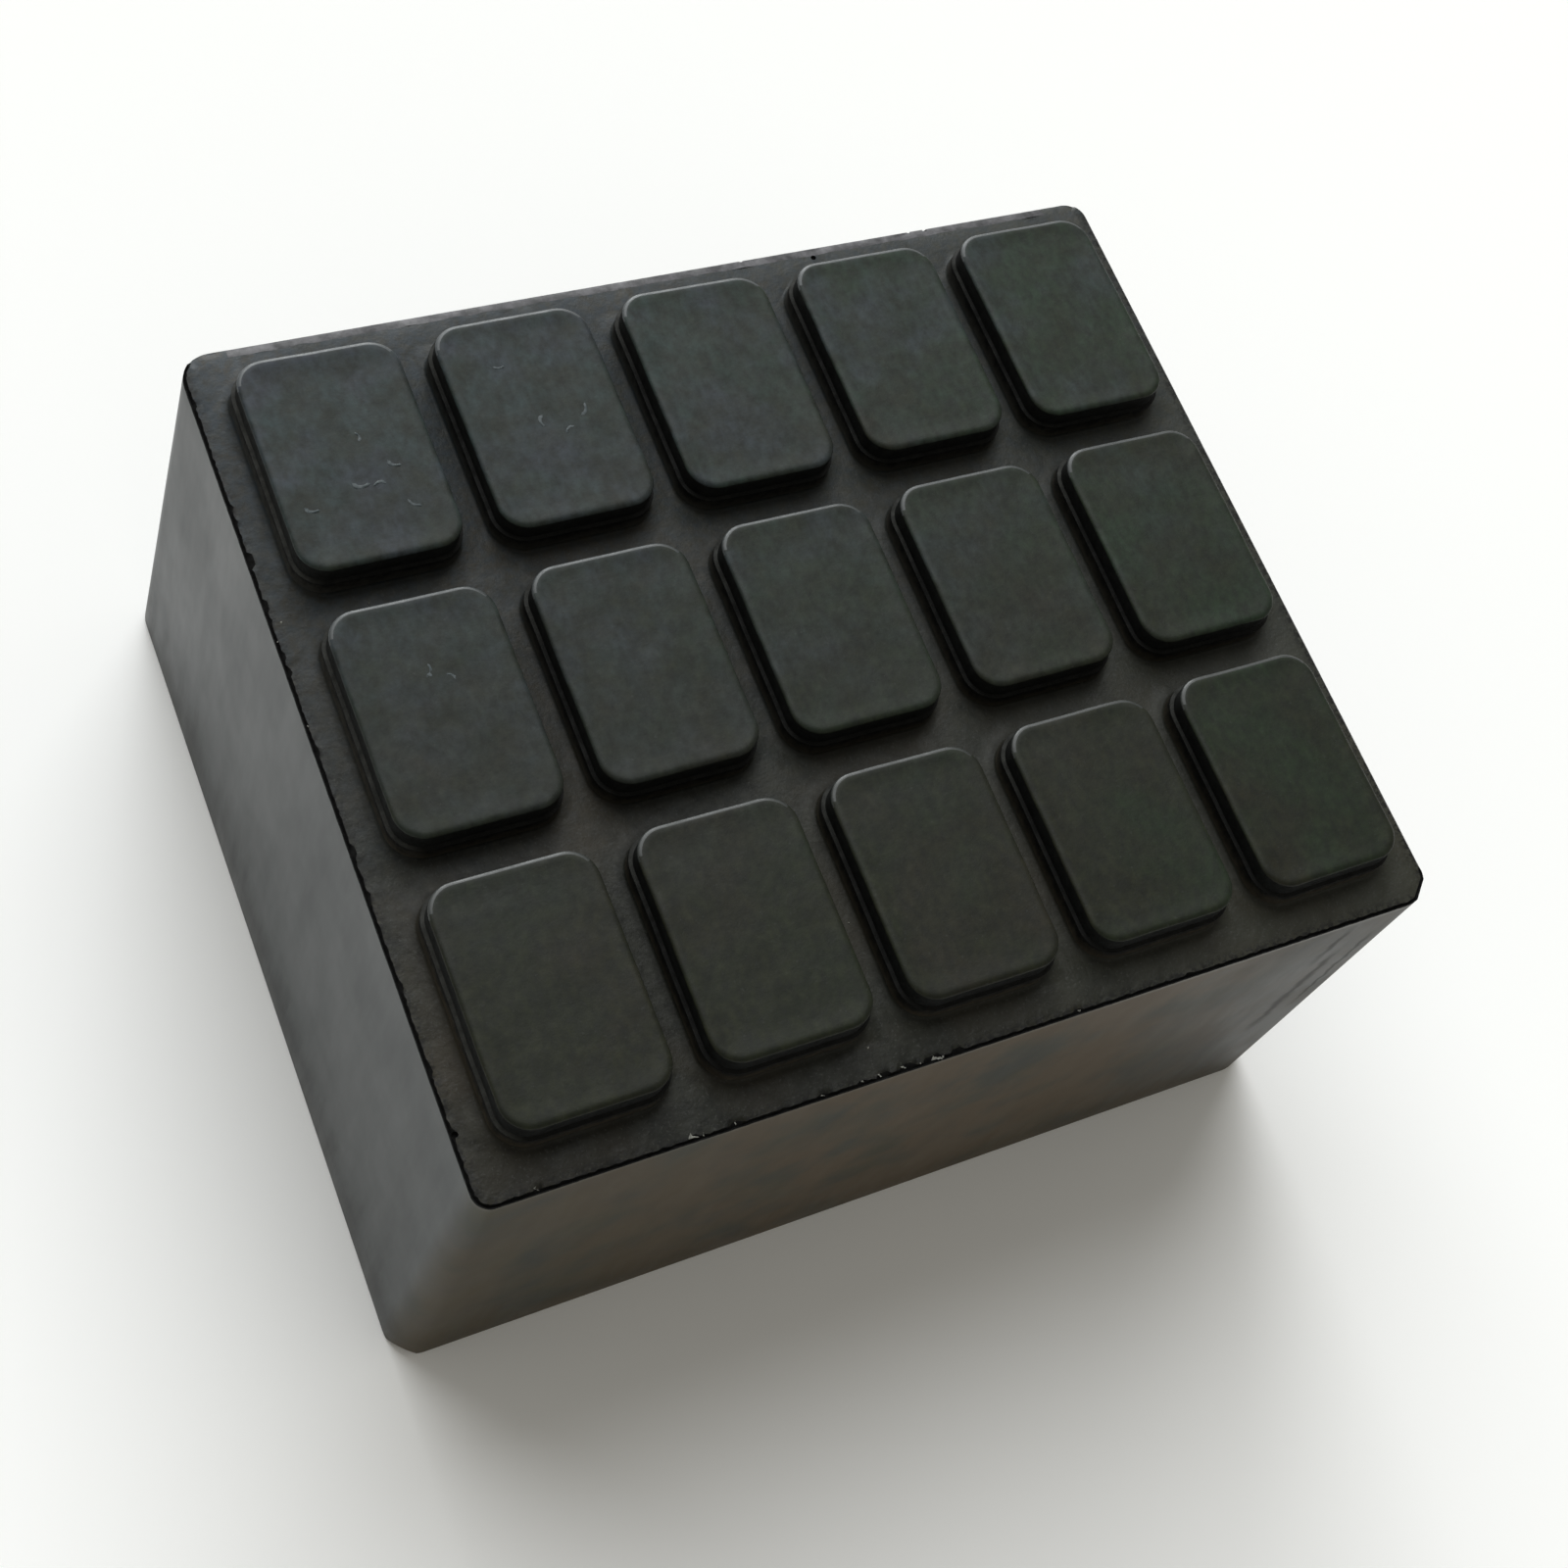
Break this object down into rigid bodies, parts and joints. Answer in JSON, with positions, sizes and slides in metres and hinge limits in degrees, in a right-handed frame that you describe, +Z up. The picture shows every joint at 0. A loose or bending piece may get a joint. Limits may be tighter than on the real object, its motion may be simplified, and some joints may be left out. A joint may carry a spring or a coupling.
{
  "type": "car lift rubber pad",
  "caption": "Solid rubber block with a grid of rounded pads on top, laid between a car lift's arm or platform and the car's jacking point.",
  "frame": {"origin": "centre of the base, where the block rests", "axes": "+Z up through the pads, X along the long side, Y along the short side"},
  "size_m": [0.1424, 0.1224, 0.073],
  "materials": {
    "rubber": "black moulded rubber, matt on the pads and satin on the walls"
  },
  "bodies": {
    "root": {"lift_pad_block": "rubber"}
  },
  "joints": []
}
